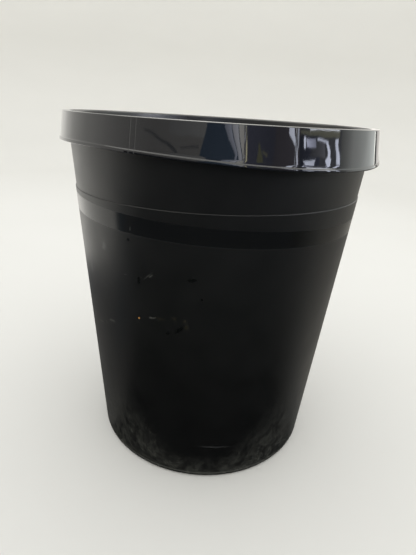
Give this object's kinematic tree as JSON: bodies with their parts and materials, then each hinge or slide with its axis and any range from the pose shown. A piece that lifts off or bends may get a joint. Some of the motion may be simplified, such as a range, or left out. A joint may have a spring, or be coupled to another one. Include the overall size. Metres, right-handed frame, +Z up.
{
  "type": "florist bucket",
  "caption": "Round tapered plastic tub on a foot ring, with a loose flat-topped collar that drops over its mouth and overhangs it as a finger grip.",
  "frame": {"origin": "on the floor, at the centre of the base", "axes": "+Z up along the tub's axis, -Y the front, +X to its right; the collar's skirt is deepest at -45 and 135 degrees from +X"},
  "size_m": [0.309, 0.309, 0.3472],
  "materials": {
    "tub_plastic": "satin, lightly scuffed",
    "collar_plastic": "high gloss"
  },
  "bodies": {
    "tub": {"tub": "tub_plastic"},
    "collar": {"collar": "collar_plastic"}
  },
  "joints": [
    {"name": "collar_lift", "type": "slide", "parent": "tub", "child": "collar", "axis": [0, 0, 1], "range_m": [0, 0.06]}
  ]
}
